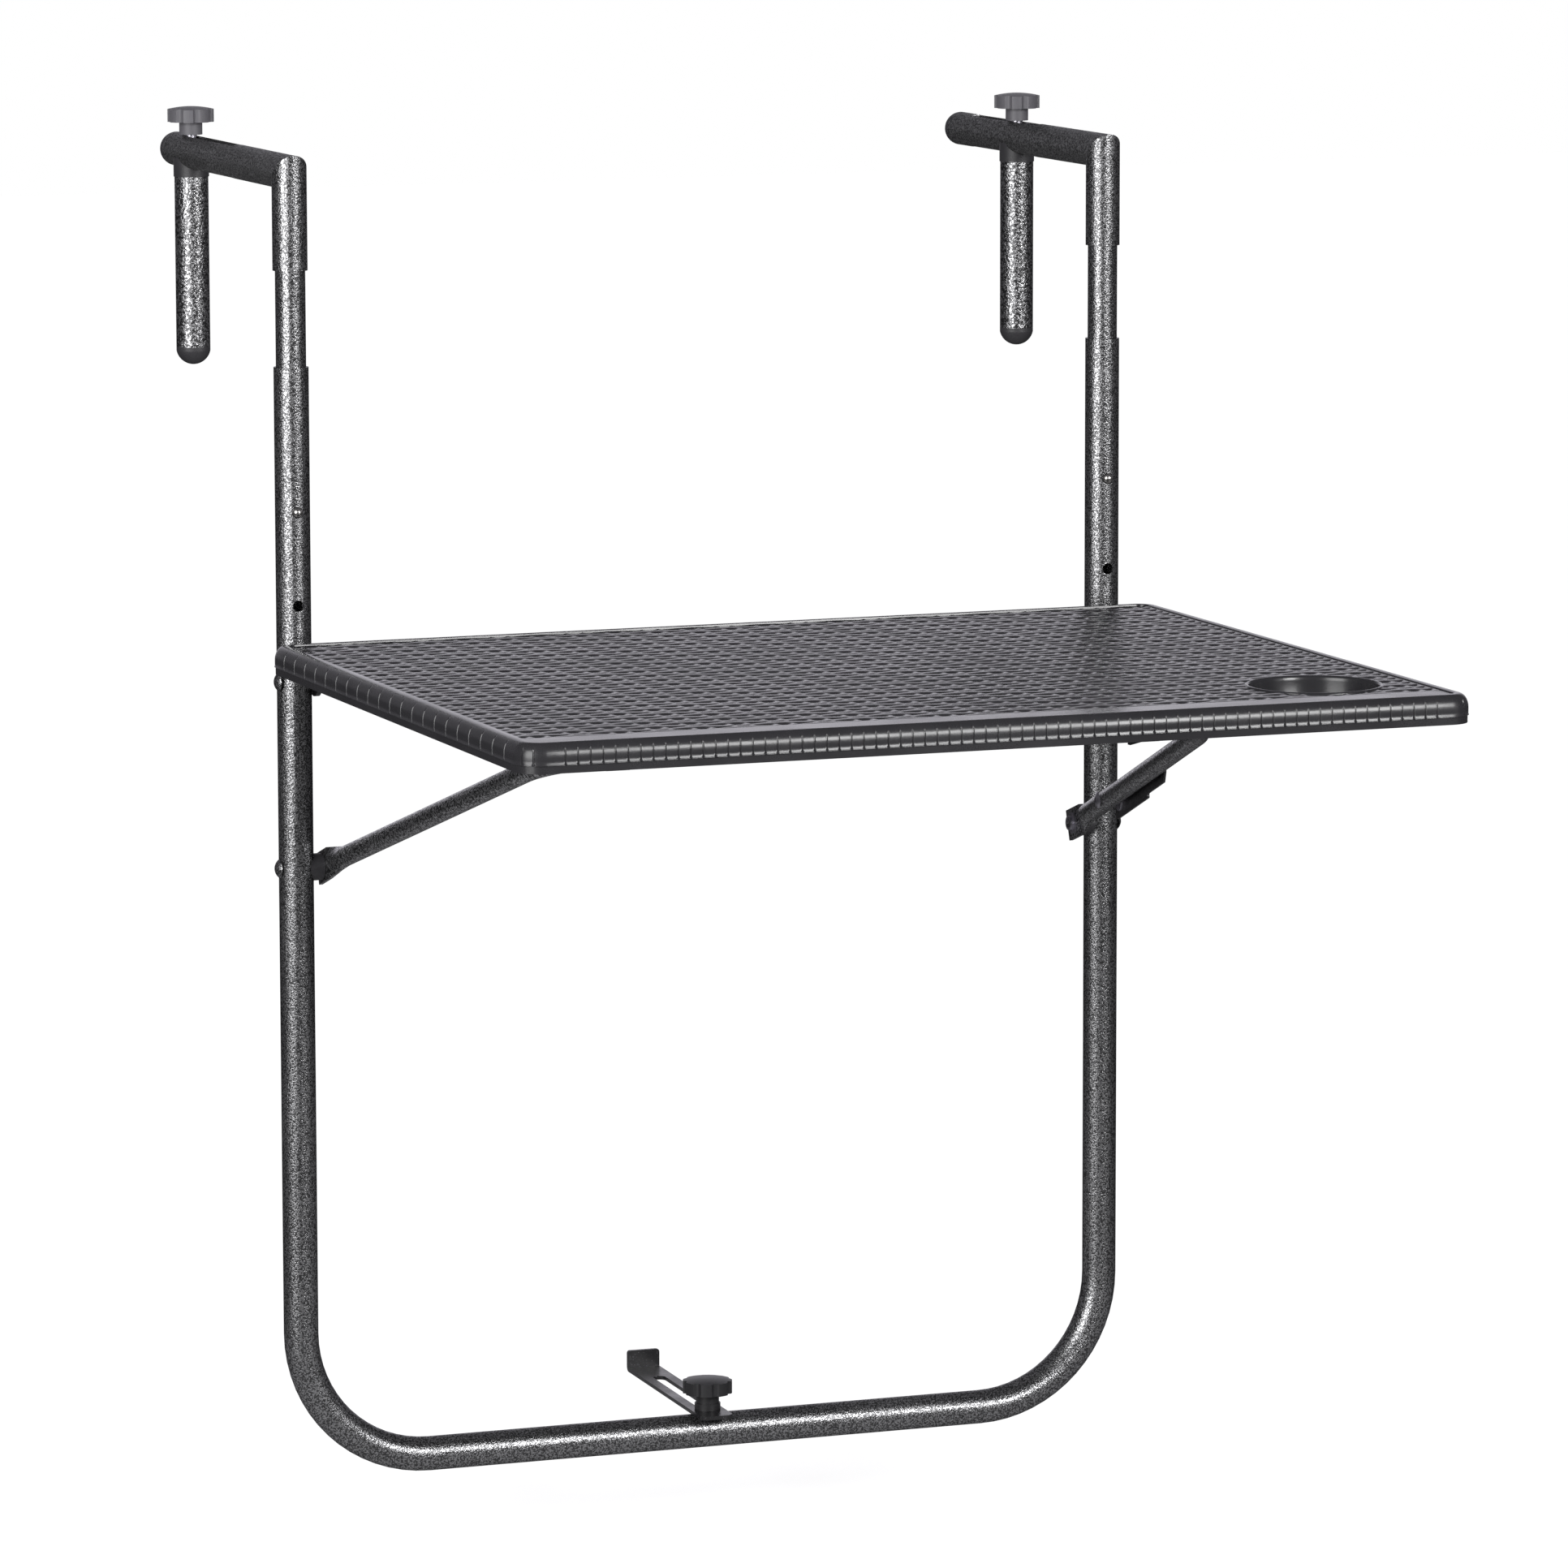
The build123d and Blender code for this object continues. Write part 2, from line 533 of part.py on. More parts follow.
def make_clip():
    """Hooks under the table for the cross tube, open forwards and down, the right one with a thumb tab."""
    x0 = CLIP_X - CLIP_W / 2
    x1 = CLIP_X + CLIP_W / 2
    room = BRACE_R + CLIP_FIT
    jaw_z = CROSS_Z - room - CLIP_JAW
    clip = block(x0, x1, CLIP_FRONT_Y, CLIP_BACK_Y, jaw_z, CEILING_Z)
    clip -= rod_x(room, x0, x1, CROSS_Y, CROSS_Z)
    length = 4 * room
    for turn in (CLIP_RELEASE - CLIP_FLARE, CLIP_RELEASE, CLIP_RELEASE + CLIP_FLARE):
        mouth = Rot(turn, 0, 0) * Pos(0, -length / 2, 0) * Box(CLIP_W, length, 2 * room)
        clip -= Pos(CLIP_X, CROSS_Y, CROSS_Z) * mouth
    wedge = Plane.XZ * make_face(Polyline((x0, jaw_z), (x1, jaw_z), (x0, jaw_z - CLIP_TAB_H), close=True))
    tab = Pos(0, CLIP_BACK_Y, 0) * extrude(wedge, CLIP_TAB_T)
    return {"brace_clip_right": clip + tab, "brace_clip_left": left(clip)}


def latch_plane():
    """On the right arm's axis at the latch pivot: X along the arm, Z outwards."""
    rise = radians(BRACE_RISE)
    turn = atan(BRACE_TAPER)
    origin = brace_plane() * Vertex(arm_x(LATCH_PIVOT), LATCH_PIVOT, 0)
    along = (-sin(turn), -cos(turn) * cos(rise), cos(turn) * sin(rise))
    outwards = (cos(turn), -sin(turn) * cos(rise), sin(turn) * sin(rise))
    return Plane(origin=origin.center(), x_dir=along, z_dir=outwards)


def rivet_hole():
    return latch_plane() * Cylinder(RIVET_R, 3 * BRACE_R)


def make_latch():
    """Stepped sheet lever on a rivet through the arm, spaced off by a washer."""
    plane = latch_plane()
    plate_z = BRACE_R + RIVET_WASHER_T + LATCH_GAP
    outer_z = plate_z + LATCH_T + LATCH_GAP
    tongue_end = LATCH_BODY + LATCH_TONGUE
    outline = Polyline(
        (-LATCH_REAR, -LATCH_ABOVE), (LATCH_BODY, -LATCH_ABOVE), (LATCH_BODY, -LATCH_TONGUE_ABOVE),
        (tongue_end, -LATCH_TONGUE_ABOVE), (tongue_end, LATCH_TONGUE_BELOW - LATCH_TONGUE_CUT),
        (tongue_end - LATCH_TONGUE_CUT, LATCH_TONGUE_BELOW), (LATCH_BODY, LATCH_TONGUE_BELOW),
        (LATCH_BODY, LATCH_BELOW), (-LATCH_REAR, LATCH_BELOW), close=True)
    lever = extrude(make_face(outline), LATCH_T)
    lever = fillet(lever.edges().filter_by(Axis.Z), LATCH_ROUND)
    lever -= Cylinder(RIVET_R + TURN_FIT, 4 * LATCH_T)
    lever = plane * Pos(0, 0, plate_z) * lever

    shank_0 = -BRACE_R
    rivet = Pos(0, 0, (shank_0 + outer_z) / 2) * Cylinder(RIVET_R, outer_z - shank_0)
    rivet += Pos(0, 0, outer_z) * dome(RIVET_HEAD_R, RIVET_HEAD_H)
    rivet += Pos(0, 0, shank_0) * Rot(180, 0, 0) * dome(RIVET_HEAD_R, RIVET_HEAD_H)
    rivet -= Pos(0, 0, shank_0) * Cylinder(RIVET_EYE_R, 3 * RIVET_HEAD_H)
    washer = Cylinder(RIVET_WASHER_R, RIVET_WASHER_T) - Cylinder(RIVET_R, RIVET_WASHER_T)
    washer = Pos(0, 0, BRACE_R + RIVET_WASHER_T / 2) * washer
    return {"latch_lever": lever, "latch_rivet": plane * rivet, "latch_washer": plane * washer}


def make_bracket():
    """Slotted strip with an upturned tab, held on the bar by a stud and star knob."""
    base_z = BAR_TOP_Z + BRACKET_GAP
    top_z = base_z + BRACKET_T
    half_w = BRACKET_W / 2
    strip = block(-half_w, half_w, BRACKET_FRONT_Y, BRACKET_REAR_Y, base_z, top_z)
    front = strip.edges().filter_by(Axis.Z).group_by(Axis.Y)[0]
    strip = fillet(front, BRACKET_ROUND)
    tab = block(-half_w, half_w, BRACKET_REAR_Y - BRACKET_T, BRACKET_REAR_Y, base_z, base_z + BRACKET_TAB_H)
    tab = fillet(tab.edges().filter_by(Axis.Y).group_by(Axis.Z)[-1], BRACKET_TAB_ROUND)
    strip += tab
    fold_outside = strip.edges().filter_by(Axis.X).group_by(Axis.Z)[0].sort_by(Axis.Y)[-1]
    strip = fillet(fold_outside, BRACKET_FOLD_R)
    slot_r = STUD_R + SLOT_PLAY
    slot_end = BRACKET_SLOT_REAR_Y - slot_r
    strip -= block(-slot_r, slot_r, 0, slot_end, base_z, top_z)
    for y in (0, slot_end):
        strip -= rod_z(slot_r, base_z, top_z, 0, y)
    strip = Pos(BRACKET_X, 0, 0) * Rot(0, 0, -BRACKET_TURN) * strip

    collar_z = top_z + KNOB_REST
    neck_z = collar_z + BRACKET_COLLAR_H
    head_z = neck_z + BRACKET_NECK_H
    stud = rod_z(STUD_R, BAR_TOP_Z - STUD_ROOT, head_z + BRACKET_KNOB_H - KNOB_ROOF - TURN_FIT, BRACKET_X, 0)
    bore = STUD_R + TURN_FIT
    knob = rod_z(BRACKET_COLLAR_R, collar_z, neck_z, BRACKET_X, 0)
    knob += rod_z(BRACKET_NECK_R, neck_z, head_z, BRACKET_X, 0)
    knob -= rod_z(bore, collar_z, head_z, BRACKET_X, 0)
    knob += Pos(BRACKET_X, 0, head_z) * star(BRACKET_KNOB_R, BRACKET_KNOB_H, bore)
    return {"standoff_bracket": strip, "bracket_stud": stud, "bracket_knob": knob}


def main():
    pieces = {}
    for make in (make_frame, make_hook, make_snap_button, make_clamps, make_hinge, make_table,
                 make_brace, make_brace_pivot, make_clip, make_latch, make_bracket):
        pieces.update(make())
    os.makedirs("parts", exist_ok=True)
    for name, shape in pieces.items():
        export_step(shape, f"parts/{name}.step")


main()
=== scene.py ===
"""Looks of the folding balcony table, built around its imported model."""
import math

import bmesh
import bpy
from mathutils import Matrix, Vector


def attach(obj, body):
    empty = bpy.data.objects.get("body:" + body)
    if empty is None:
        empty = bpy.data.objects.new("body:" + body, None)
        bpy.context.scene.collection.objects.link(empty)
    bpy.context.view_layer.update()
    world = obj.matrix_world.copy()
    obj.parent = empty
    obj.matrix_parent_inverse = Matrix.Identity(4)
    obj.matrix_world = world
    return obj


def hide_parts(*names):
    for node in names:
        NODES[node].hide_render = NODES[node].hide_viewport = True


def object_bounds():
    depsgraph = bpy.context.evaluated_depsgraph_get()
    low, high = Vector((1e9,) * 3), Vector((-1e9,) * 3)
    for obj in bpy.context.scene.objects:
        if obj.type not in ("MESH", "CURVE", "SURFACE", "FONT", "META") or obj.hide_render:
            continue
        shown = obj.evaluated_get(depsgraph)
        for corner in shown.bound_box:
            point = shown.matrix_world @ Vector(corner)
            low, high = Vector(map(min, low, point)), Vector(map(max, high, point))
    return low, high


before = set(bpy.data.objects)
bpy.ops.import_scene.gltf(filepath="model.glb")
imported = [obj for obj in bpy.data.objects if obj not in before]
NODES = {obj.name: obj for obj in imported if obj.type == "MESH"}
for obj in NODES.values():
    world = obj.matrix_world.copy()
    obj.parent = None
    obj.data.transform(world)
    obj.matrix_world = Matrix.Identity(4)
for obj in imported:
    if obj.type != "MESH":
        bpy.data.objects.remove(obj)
CAD_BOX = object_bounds()
MM = 0.001
BLACK = (0.0, 0.0, 0.0, 1.0)
WHITE = (1.0, 1.0, 1.0, 1.0)


# Shader maths

class Wire:
    """A socket's output, with arithmetic that adds Math nodes."""

    def __init__(self, owner, socket):
        self.owner = owner
        self.socket = socket

    def _math(self, operation, a, b):
        return self.owner.node("ShaderNodeMath", {"operation": operation}, [a, b])["Value"]

    def __add__(self, other):
        return self._math("ADD", self, other)

    def __radd__(self, other):
        return self._math("ADD", other, self)

    def __sub__(self, other):
        return self._math("SUBTRACT", self, other)

    def __rsub__(self, other):
        return self._math("SUBTRACT", other, self)

    def __mul__(self, other):
        return self._math("MULTIPLY", self, other)

    def __rmul__(self, other):
        return self._math("MULTIPLY", other, self)

    def step(self, low, high):
        """Rises smoothly from 0 at low to 1 at high."""
        settings = {"interpolation_type": "SMOOTHSTEP", "data_type": "FLOAT"}
        sockets = {"Value": self, "From Min": low, "From Max": high, "To Min": 0.0, "To Max": 1.0}
        return self.owner.node("ShaderNodeMapRange", settings, sockets)["Result"]


class Outputs:
    """A node's outputs by name, as wires."""

    def __init__(self, owner, node):
        self.owner = owner
        self.node = node

    def __getitem__(self, name):
        enabled = [s for s in self.node.outputs if s.name == name and s.enabled]
        return Wire(self.owner, enabled[0])


class NodeTree:
    """The nodes of a material or of the world."""

    def __init__(self, tree):
        self.tree = tree

    def node(self, kind, settings, sockets):
        """Adds a node: its settings, then its sockets' values or links, by name or in order."""
        made = self.tree.nodes.new(kind)
        for name, value in settings.items():
            setattr(made, name, value)
        pairs = enumerate(sockets) if isinstance(sockets, list) else sockets.items()
        for key, value in pairs:
            self.put(self.socket(made, key), value)
        return Outputs(self, made)

    @staticmethod
    def socket(node, key):
        if isinstance(key, int):
            return node.inputs[key]
        return [s for s in node.inputs if s.name == key and s.enabled][0]

    def put(self, socket, value):
        if isinstance(value, Wire):
            self.tree.links.new(value.socket, socket)
        else:
            socket.default_value = value

    def place(self):
        return self.node("ShaderNodeTexCoord", {}, {})["Object"]

    def noise(self, scale, detail, rough):
        sockets = {"Vector": self.place(), "Scale": scale, "Detail": detail, "Roughness": rough}
        return self.node("ShaderNodeTexNoise", {"noise_dimensions": "3D"}, sockets)["Fac"]

    def cells(self, scale, smooth):
        sockets = {"Vector": self.place(), "Scale": scale, "Smoothness": smooth}
        return self.node("ShaderNodeTexVoronoi", {"feature": "SMOOTH_F1"}, sockets)["Distance"]

    def mix(self, factor, a, b):
        settings = {"data_type": "RGBA", "blend_type": "MIX"}
        return self.node("ShaderNodeMix", settings, {"Factor": factor, "A": a, "B": b})["Result"]

    def bump(self, height, strength, distance):
        sockets = {"Height": height, "Strength": strength, "Distance": distance}
        return self.node("ShaderNodeBump", {}, sockets)["Normal"]

    def surface(self, shader):
        """Links a shader to the tree's output."""
        outputs = [n for n in self.tree.nodes if n.bl_idname.startswith("ShaderNodeOutput")]
        self.put(outputs[0].inputs["Surface"], shader)


class Paint(NodeTree):
    """One material with its main shader."""

    def __init__(self, name):
        self.material = bpy.data.materials.new(name)
        self.material.use_nodes = True
        super().__init__(self.material.node_tree)
        self.shader = self.tree.nodes["Principled BSDF"]

    def set(self, **sockets):
        for name, value in sockets.items():
            self.put(self.shader.inputs[name.replace("_", " ")], value)
        return self.material


# Finishes

def grey(value, green=0.975, blue=1.07):
    return (value, value * green, value * blue, 1.0)


def silver(value):
    return grey(value, green=1.0, blue=1.02)


def nickel(value):
    return grey(value, green=0.98, blue=0.94)


DUST_COLOUR = grey(0.06)
DUST_COVER = 0.12
SPECK_COLOUR = grey(0.3)
SPECK_COVER = 0.6


def hammertone(name, scale, dent, dark, light, gloss, edge):
    """Hammered lacquer: metallic paint in small bright flecks and dark pits, dimpled all over."""
    paint = Paint(name)
    warp = paint.noise(scale=scale * 0.45, detail=2.0, rough=0.5)
    dimples = paint.cells(scale=scale * 0.9, smooth=0.25) + warp * 0.5
    flecks = paint.noise(scale=scale, detail=2.5, rough=0.6).step(low=0.43, high=0.6)
    fine = paint.noise(scale=scale * 2.6, detail=2.0, rough=0.6)
    dust = paint.noise(scale=11.0, detail=4.0, rough=0.6).step(low=0.45, high=0.8)
    colour = paint.mix(flecks, dark, light)
    colour = paint.mix(dust * DUST_COVER, colour, DUST_COLOUR)
    rough = gloss + 0.07 * (1.0 - flecks) + 0.05 * fine + 0.05 * dust
    relief = flecks * 0.6 + dimples * 0.6 + fine * 0.1
    return paint.set(Base_Color=colour, Roughness=rough, Metallic=0.92 - 0.1 * dust,
                     Specular_IOR_Level=0.4, Specular_Tint=(edge, edge, edge, 1.0),
                     Normal=paint.bump(relief, strength=1.0, distance=dent))


def moulded_plastic(name, dark, light, rough, grain):
    """Satin moulded plastic: fine grain, faint flow marks, dulled patches."""
    paint = Paint(name)
    fine = paint.noise(scale=2600.0, detail=3.0, rough=0.6)
    flow = paint.noise(scale=14.0, detail=4.0, rough=0.6).step(low=0.3, high=0.75)
    colour = paint.mix(flow * 0.6 + fine * 0.4, dark, light)
    return paint.set(Base_Color=colour, Roughness=rough + 0.08 * flow + 0.06 * fine,
                     Specular_IOR_Level=0.45,
                     Normal=paint.bump(fine, strength=grain, distance=0.00012))


def lacquered_sheet(name, dark, light):
    """Black lacquer on sheet steel: orange peel and small bright specks."""
    paint = Paint(name)
    peel = paint.noise(scale=420.0, detail=2.0, rough=0.5)
    specks = paint.noise(scale=1100.0, detail=3.0, rough=0.6).step(low=0.62, high=0.7)
    patches = paint.noise(scale=30.0, detail=3.0, rough=0.6).step(low=0.35, high=0.7)
    colour = paint.mix(patches, dark, light)
    colour = paint.mix(specks * SPECK_COVER, colour, SPECK_COLOUR)
    return paint.set(Base_Color=colour, Roughness=0.28 + 0.12 * patches,
                     Metallic=specks * SPECK_COVER, Specular_IOR_Level=0.5,
                     Normal=paint.bump(peel, strength=0.4, distance=0.0003))


def plated_steel(name, dark, light, rough):
    """Plated steel: cloudy plating with fine turning marks."""
    paint = Paint(name)
    cloud = paint.noise(scale=160.0, detail=4.0, rough=0.6).step(low=0.3, high=0.72)
    marks = paint.noise(scale=3200.0, detail=2.0, rough=0.6)
    colour = paint.mix(cloud, dark, light)
    return paint.set(Base_Color=colour, Roughness=rough + 0.14 * cloud + 0.08 * marks,
                     Metallic=1.0, Normal=paint.bump(marks, strength=0.12, distance=0.0002))


FRAME_PAINT = hammertone("frame_hammertone", scale=900.0, dent=0.00008,
                         dark=silver(0.08), light=silver(0.42), gloss=0.2, edge=0.4)
CLAMP_PAINT = hammertone("clamp_hammertone", scale=600.0, dent=0.00015,
                         dark=silver(0.08), light=silver(0.44), gloss=0.18, edge=0.45)
ARM_PAINT = hammertone("arm_hammertone", scale=850.0, dent=0.00005,
                       dark=silver(0.13), light=silver(0.48), gloss=0.36, edge=0.3)
BRACE_PAINT = hammertone("brace_hammertone", scale=750.0, dent=0.00008,
                         dark=silver(0.05), light=silver(0.48), gloss=0.22, edge=1.0)
SHEET_PAINT = lacquered_sheet("sheet_lacquer", dark=grey(0.01), light=grey(0.018))
TABLE_PLASTIC = moulded_plastic("table_plastic", dark=grey(0.02), light=grey(0.029),
                                rough=0.19, grain=0.08)
CAP_PLASTIC = moulded_plastic("cap_plastic", dark=grey(0.026), light=grey(0.04),
                              rough=0.42, grain=0.35)
KNOB_GREY = moulded_plastic("knob_grey_plastic", dark=grey(0.1), light=grey(0.13),
                            rough=0.42, grain=0.3)
KNOB_BLACK = moulded_plastic("knob_black_plastic", dark=grey(0.012), light=grey(0.019),
                             rough=0.36, grain=0.3)
ZINC = plated_steel("zinc_plate", dark=grey(0.4), light=grey(0.58), rough=0.26)
NICKEL = plated_steel("nickel_plate", dark=nickel(0.55), light=nickel(0.72), rough=0.12)

FINISH = {
    "u_frame": FRAME_PAINT, "inner_tube": FRAME_PAINT, "upper_post": FRAME_PAINT,
    "hook_arm": ARM_PAINT, "arm_end_cap": CAP_PLASTIC,
    "clamp_saddle": CAP_PLASTIC, "clamp_post": CLAMP_PAINT, "clamp_post_cap": CAP_PLASTIC,
    "clamp_knob": KNOB_GREY, "clamp_screw": ZINC,
    "snap_button": NICKEL, "snap_spring": ZINC,
    "hinge_bracket": SHEET_PAINT, "hinge_bolt": FRAME_PAINT, "hinge_nut": ZINC,
    "hinge_screws": ZINC,
    "table_top": TABLE_PLASTIC, "table_base": TABLE_PLASTIC, "brace_clip": TABLE_PLASTIC,
    "brace_frame": BRACE_PAINT, "brace_bush": CAP_PLASTIC, "brace_nut": ZINC,
    "brace_bolt": FRAME_PAINT,
    "latch_lever": SHEET_PAINT, "latch_rivet": ZINC, "latch_washer": ZINC,
    "standoff_bracket": SHEET_PAINT, "bracket_stud": ZINC, "bracket_knob": KNOB_BLACK,
}


def base_name(node):
    """A node's name without its side."""
    for side in ("_left", "_right"):
        if node.endswith(side):
            return node[:-len(side)]
    return node


for node_name, node_object in NODES.items():
    node_object.data.materials.clear()
    node_object.data.materials.append(FINISH[base_name(node_name)])


# Table top, in millimetres

# Outline and heights
TABLE_HALF_W = 300.0
TABLE_FRONT_Y = -517.5
TABLE_REAR_Y = -25.5
CORNER_R = 16.0
CREST_Z = -281.0
FIELD_Z = -282.2
CEILING_Z = -285.0
PARTING_Z = -294.2
SMOOTH_ANGLE = math.radians(42.0)

# Weave: columns of paired stakes along Y, rows of wide strands along X
WEAVE_COLUMN = 25.14
WEAVE_ROW = 10.45
WEAVE_HALF_W = 289.0
WEAVE_FRONT_Y = -487.0
WEAVE_FRONT_ROW_Y = -482.0
WEAVE_FADE = 1.5
STRAND_RISE = 0.32
STRAND_ROUND = 1.45
STRAND_CURVE = 2.2
STAKE_OFFSET = 5.3
STAKE_HALF_W = 3.4
STAKE_DROP = 0.1

# Mesh lines as shares of a column and of a row, and across the smooth front strip
COLUMN_LINES = (0.0, 0.076, 0.107, 0.211, 0.314, 0.346, 0.378, 0.438,
                0.5, 0.562, 0.622, 0.654, 0.686, 0.789, 0.893, 0.924)
ROW_LINES = (0.0, 0.17, 0.32, 0.43, 0.5, 0.57, 0.68, 0.83)
FRONT_STRIP_YS = (-508.9, -507.4, -506.2, -505.0, -503.8, -502.6, -498.0, -493.0, -489.0)
LINE_CLEARANCE = 0.3

# Plain border of the field, with a fine line along its front
FIELD_INSET = 8.6
BORDER_RISE = 0.3
FRONT_LINE_Y = -505.0
FRONT_LINE_HALF_W = 1.2
FRONT_LINE_DEPTH = 0.7

# Cup: profile as radius and height, from the floor over the lip and down the outside
CUP_X, CUP_Y = 230.4, -435.3
CUP_EDGE_R = 40.3
CUP_BORDER = 0.5
CUP_STEPS = 96
CUP_PROFILE = (
    (36.2, -295.2), (37.4, -294.9), (38.3, -294.1), (38.7, -292.8), (39.1, -284.6),
    (39.3, -282.9), (39.7, -281.9), (40.3, -281.4), (41.0, -281.35), (41.6, -281.7),
    (41.9, -282.5), (41.4, -284.6), (41.4, -297.2), (41.0, -297.6),
)

# Rim section as inset, height and share of the groove's depth: inner side, then outer wall
RIM_INSET = 9.4
RIM_ROUND = 6.0
RIM_DROP = 8.5
RIM_STEPS = 8
RIM_PLAIN_STEPS = 3
RIM_FADE_STEPS = 2.0
WALL_INSET = 0.35
WALL_T = 5.0
WALL_LOW_Z = -291.2
WALL_FOOT_Z = PARTING_Z + 0.05
BEAD_Z = PARTING_Z + 0.4
INNER_SECTION = (
    (RIM_INSET + 0.2, CEILING_Z + 0.3, 0.0), (RIM_INSET, FIELD_Z - 0.1, 0.0),
    (RIM_INSET - 0.25, CREST_Z - 0.3, 0.0), (RIM_INSET - 0.8, CREST_Z - 0.02, 0.0),
)
OUTER_SECTION = (
    (WALL_INSET, WALL_LOW_Z, 1.0), (WALL_INSET, BEAD_Z + 0.45, 0.9), (0.02, BEAD_Z, 0.25),
    (0.0, PARTING_Z + 0.25, 0.1), (0.3, WALL_FOOT_Z, 0.0),
    (WALL_T, WALL_FOOT_Z, 0.0), (WALL_T, CEILING_Z, 0.0),
)

# Grooves across the rim: sections as offset and depth, straight runs in half widths and corners
# in degrees
SIDE_GROOVE_PITCH = 21.3
SIDE_GROOVES = 21
FRONT_GROOVE_PITCH = 7.6
FRONT_GROOVES = 73
GROOVE_DEPTH = 0.6
GROOVE_HALF_W = 0.6
GROOVE_SECTION = ((-1.8, 0.0), (-1.0, 0.0), (-0.25, 1.0), (0.25, 1.0), (1.0, 0.0), (1.8, 0.0))
CORNER_GROOVES = (31.5, 58.5)
CORNER_GROOVE_SECTION = ((-5.5, 0.0), (-2.5, 0.0), (-0.5, 1.0), (0.5, 1.0), (2.5, 0.0), (5.5, 0.0))
CORNER_PLAIN = (0.0, 9.0, 18.0, 45.0, 72.0, 81.0)

# Blocks below the plate for the hinge screws
PAD_X = (232.2, 266.2)
PAD_Y = (-69.5, -38.5)
PAD_Z = (-294.5, -285.0)
PAD_EDGE = 0.6


def weave_height(x, y):
    """Height of the moulded weave: wide strands along X, pairs of stakes along Y in their dips."""
    column = round(x / WEAVE_COLUMN)
    row_at = (y - WEAVE_FRONT_ROW_Y) / WEAVE_ROW
    row = round(row_at)
    parity = 1.0 if (column + 1 + row) % 2 else -1.0
    along = (x / WEAVE_COLUMN - column) * math.pi
    across = (row_at - row) * 2.0
    strand = parity * STRAND_RISE * math.cos(along) - STRAND_ROUND * abs(across) ** STRAND_CURVE
    for side in (-1.0, 1.0):
        off = (x - column * WEAVE_COLUMN - side * STAKE_OFFSET) / STAKE_HALF_W
        if abs(off) < 1.0:
            arch = -parity * STRAND_RISE * math.cos(across * math.pi / 2)
            strand = max(strand, arch - STRAND_ROUND * off * off - STAKE_DROP)
    return strand


def field_height(x, y):
    """The woven field, which fades into a plain border at the sides, the front and the cup."""
    inside = min(WEAVE_HALF_W - abs(x), y - WEAVE_FRONT_Y)
    inside = min(inside, math.hypot(x - CUP_X, y - CUP_Y) - CUP_EDGE_R - CUP_BORDER)
    if inside > 0.0:
        return FIELD_Z + min(1.0, inside / WEAVE_FADE) * weave_height(x, y)
    line = max(0.0, 1.0 - abs(y - FRONT_LINE_Y) / FRONT_LINE_HALF_W)
    return FIELD_Z + BORDER_RISE - FRONT_LINE_DEPTH * line


def weave_lines(low, high, origin, pitch, shares):
    """Mesh lines from low to high, at the same places in every column or row of the weave."""
    first = math.floor((low - origin) / pitch) - 1
    last = math.ceil((high - origin) / pitch) + 1
    places = [origin + (i + share) * pitch for i in range(first, last) for share in shares]
    between = [p for p in places if low + LINE_CLEARANCE < p < high - LINE_CLEARANCE]
    return [low] + between + [high]


def field_grid(bm):
    """The woven upper face, open where the cup sits. Gives back its boundary edges."""
    half_w = TABLE_HALF_W - FIELD_INSET
    xs = weave_lines(-half_w, half_w, 0.0, WEAVE_COLUMN, COLUMN_LINES)
    ys = weave_lines(WEAVE_FRONT_Y, TABLE_REAR_Y - FIELD_INSET,
                     WEAVE_FRONT_ROW_Y, WEAVE_ROW, ROW_LINES)
    ys = [y for y in FRONT_STRIP_YS if y < ys[0]] + ys
    rows = []
    in_cup = {}
    for y in ys:
        row = []
        for x in xs:
            from_cup = math.hypot(x - CUP_X, y - CUP_Y)
            vert_x, vert_y = x, y
            if 0.0 < from_cup < CUP_EDGE_R:
                vert_x = CUP_X + (x - CUP_X) * CUP_EDGE_R / from_cup
                vert_y = CUP_Y + (y - CUP_Y) * CUP_EDGE_R / from_cup
            vert = bm.verts.new((vert_x, vert_y, field_height(vert_x, vert_y)))
            if from_cup < CUP_EDGE_R:
                in_cup[vert] = True
            row.append(vert)
        rows.append(row)
    edges = {}
    for low, high in zip(rows, rows[1:]):
        for i in range(len(xs) - 1):
            corners = (low[i], low[i + 1], high[i + 1], high[i])
            if not all(vert in in_cup for vert in corners):
                edges.update(dict.fromkeys(bm.faces.new(corners).edges))
    for vert in in_cup:
        if not vert.link_faces:
            bm.verts.remove(vert)
    return [edge for edge in edges if edge.is_boundary]


def field_slab(bm):
    """The woven plate: its upper face, closed at the sides and below."""
    walls = bmesh.ops.extrude_edge_only(bm, edges=field_grid(bm))["geom"]
    for made in walls:
        if isinstance(made, bmesh.types.BMVert):
            made.co.z = CEILING_Z
    lower = [made for made in walls if isinstance(made, bmesh.types.BMEdge)
             and all(vert.co.z == CEILING_Z for vert in made.verts)]
    bmesh.ops.triangle_fill(bm, use_beauty=True, edges=lower, normal=(0.0, 0.0, -1.0))


def groove_places(length, pitch, count):
    """Samples along one edge, dense at each groove: place along the edge and groove depth."""
    samples = [(0.0, 0.0)]
    for i in range(count):
        centre = length / 2.0 + (i - (count - 1) / 2.0) * pitch
        samples += [(centre + off * GROOVE_HALF_W, depth) for off, depth in GROOVE_SECTION]
    return samples


def corner_places():
    """Samples round one corner: turn in degrees and groove depth."""
    samples = [(turn, 0.0) for turn in CORNER_PLAIN]
    for groove in CORNER_GROOVES:
        samples += [(groove + off, depth) for off, depth in CORNER_GROOVE_SECTION]
    return sorted(samples)


